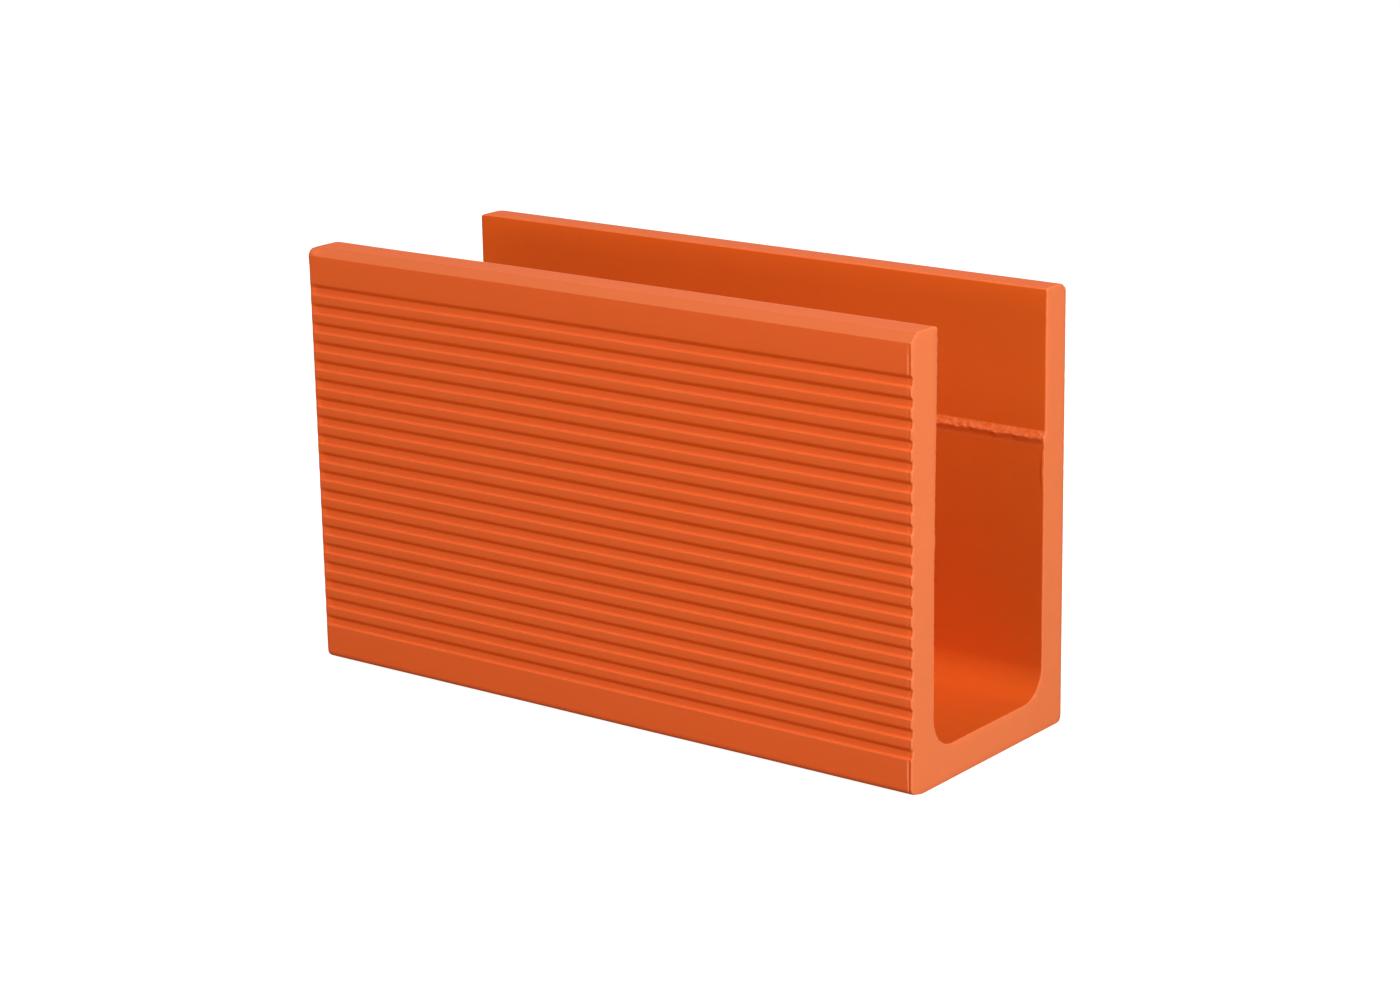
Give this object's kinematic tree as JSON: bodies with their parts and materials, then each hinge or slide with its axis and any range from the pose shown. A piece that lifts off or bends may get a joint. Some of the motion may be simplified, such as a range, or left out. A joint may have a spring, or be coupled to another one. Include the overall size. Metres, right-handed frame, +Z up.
{
  "type": "ceramic u-channel block",
  "caption": "Orange fired-clay U-channel block, open on top, with a lengthwise grooved outer face and a plain one.",
  "frame": {"origin": "centre of the base, at the level of what the block stands on", "axes": "+X along the block, the way the clay was extruded; +Y across it, from the ribbed face to the plain face; +Z up, out of the open channel"},
  "size_m": [0.3174, 0.1138, 0.19],
  "materials": {
    "fired_clay": "matt unglazed orange terracotta, finely mottled"
  },
  "bodies": {
    "root": {"u_channel_block": "fired_clay"}
  },
  "joints": []
}
